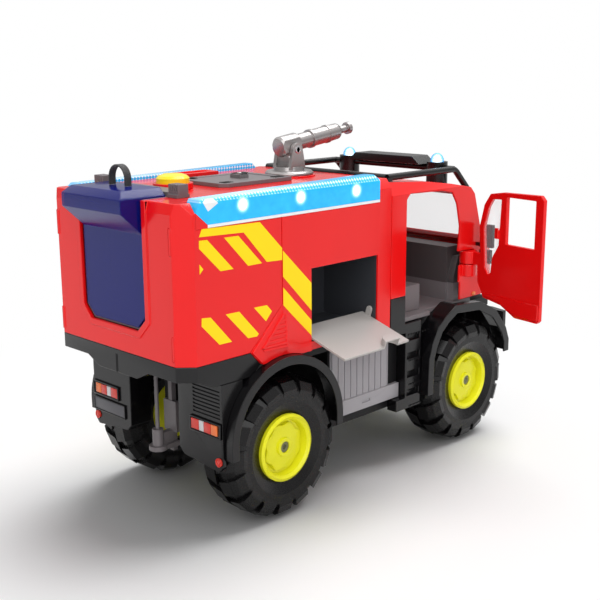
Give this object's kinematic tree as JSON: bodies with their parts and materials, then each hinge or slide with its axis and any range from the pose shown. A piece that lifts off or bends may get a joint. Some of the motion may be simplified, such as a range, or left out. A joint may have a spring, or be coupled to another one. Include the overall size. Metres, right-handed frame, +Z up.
{
  "type": "toy fire truck",
  "caption": "Toy fire truck with hollow body and cab, hinged cab doors and side flaps, a roof water cannon that turns and tilts, and wheels that roll.",
  "frame": {"origin": "centre of the tow socket's mouth, under the tow coupling at the rear, on the centre plane", "axes": "+X forward along the truck, +Y to its left, +Z up"},
  "size_m": [0.6525, 0.4194, 0.462],
  "materials": {
    "red_plastic": "moulded gloss",
    "black_plastic": "moulded satin",
    "dark_grey_plastic": "moulded matt",
    "light_grey_plastic": "moulded matt",
    "silver_grey_plastic": "metallic flecked",
    "yellow_plastic": "moulded gloss",
    "lime_plastic": "moulded gloss",
    "blue_clear_plastic": "clear tinted",
    "cyan_clear_plastic": "clear tinted, lit",
    "clear_plastic": "clear",
    "white_plastic": "moulded gloss",
    "lamp_lens": "moulded lens",
    "tyre_plastic": "moulded satin",
    "webbing": "woven",
    "axle_steel": "drawn bar"
  },
  "bodies": {
    "truck": {"body_rear": "red_plastic", "body_mid": "red_plastic", "lower_skirt": "black_plastic", "water_tank": "blue_clear_plastic", "tank_bay": "black_plastic", "tank_strap": "webbing", "latch_plate": "dark_grey_plastic", "deck_red": "red_plastic", "push_button": "yellow_plastic", "roof_hatch": "dark_grey_plastic", "light_bars": "cyan_clear_plastic", "light_bar_trim": "white_plastic", "compartment_right": "dark_grey_plastic", "compartment_left": "dark_grey_plastic", "cab_shell": "red_plastic", "windscreen": "clear_plastic", "cab_floor": "dark_grey_plastic", "cab_seats": "light_grey_plastic", "steering_wheel": "black_plastic", "roof_cage": "black_plastic", "light_board": "black_plastic", "beacons": "cyan_clear_plastic", "mirrors": "black_plastic", "chassis_spine": "black_plastic", "chassis_tub": "black_plastic", "floor_plate": "black_plastic", "axle_housings": "black_plastic", "axles": "axle_steel", "rear_fenders": "black_plastic", "front_fenders": "black_plastic", "rear_bumper_right": "black_plastic", "rear_bumper_left": "black_plastic", "tail_lamps": "lamp_lens", "reflectors": "lamp_lens", "side_panels": "light_grey_plastic", "step_panels": "black_plastic", "tow_coupling": "silver_grey_plastic", "front_bumper": "black_plastic", "grille": "black_plastic", "headlamps": "clear_plastic"},
    "right_door": {"door_right": "red_plastic", "vent_glass_right": "clear_plastic"},
    "left_door": {"door_left": "red_plastic", "vent_glass_left": "clear_plastic"},
    "right_flap": {"flap_right": "light_grey_plastic"},
    "left_flap": {"flap_left": "light_grey_plastic"},
    "cannon_turret": {"cannon_base": "silver_grey_plastic"},
    "cannon_tube": {"cannon_barrel": "silver_grey_plastic"},
    "rear_right_wheel": {"tyre_rear_right": "tyre_plastic", "rim_rear_right": "lime_plastic"},
    "rear_left_wheel": {"tyre_rear_left": "tyre_plastic", "rim_rear_left": "lime_plastic"},
    "front_right_wheel": {"tyre_front_right": "tyre_plastic", "rim_front_right": "lime_plastic"},
    "front_left_wheel": {"tyre_front_left": "tyre_plastic", "rim_front_left": "lime_plastic"}
  },
  "joints": [
    {"name": "rear_right_spin", "type": "hinge", "parent": "truck", "child": "rear_right_wheel", "pos_m": [0.0914, -0.1025, 0.0123], "axis": [0, 1, 0], "continuous": true},
    {"name": "rear_left_spin", "type": "hinge", "parent": "truck", "child": "rear_left_wheel", "pos_m": [0.0914, 0.1025, 0.0123], "axis": [0, 1, 0], "continuous": true},
    {"name": "front_right_spin", "type": "hinge", "parent": "truck", "child": "front_right_wheel", "pos_m": [0.4614, -0.1025, 0.0123], "axis": [0, 1, 0], "continuous": true},
    {"name": "front_left_spin", "type": "hinge", "parent": "truck", "child": "front_left_wheel", "pos_m": [0.4614, 0.1025, 0.0123], "axis": [0, 1, 0], "continuous": true},
    {"name": "right_door_swing", "type": "hinge", "parent": "truck", "child": "right_door", "pos_m": [0.4614, -0.127, 0.186], "axis": [0, 0, 1], "range_deg": [-80, 0]},
    {"name": "left_door_swing", "type": "hinge", "parent": "truck", "child": "left_door", "pos_m": [0.4614, 0.127, 0.186], "axis": [0, 0, 1], "range_deg": [-80, 0]},
    {"name": "right_flap_tilt", "type": "hinge", "parent": "truck", "child": "right_flap", "pos_m": [0.2032, -0.1152, 0.1517], "axis": [1, 0, 0], "range_deg": [-107.3, 0]},
    {"name": "left_flap_tilt", "type": "hinge", "parent": "truck", "child": "left_flap", "pos_m": [0.2032, 0.1152, 0.1517], "axis": [1, 0, 0], "range_deg": [-107.3, 0]},
    {"name": "cannon_swivel", "type": "hinge", "parent": "truck", "child": "cannon_turret", "pos_m": [0.2306, 0, 0.323], "axis": [0, 0, 1], "continuous": true},
    {"name": "cannon_tilt", "type": "hinge", "parent": "cannon_turret", "child": "cannon_tube", "pos_m": [0.2306, 0, 0.3545], "axis": [0, -1, 0], "range_deg": [-12, 45]}
  ]
}
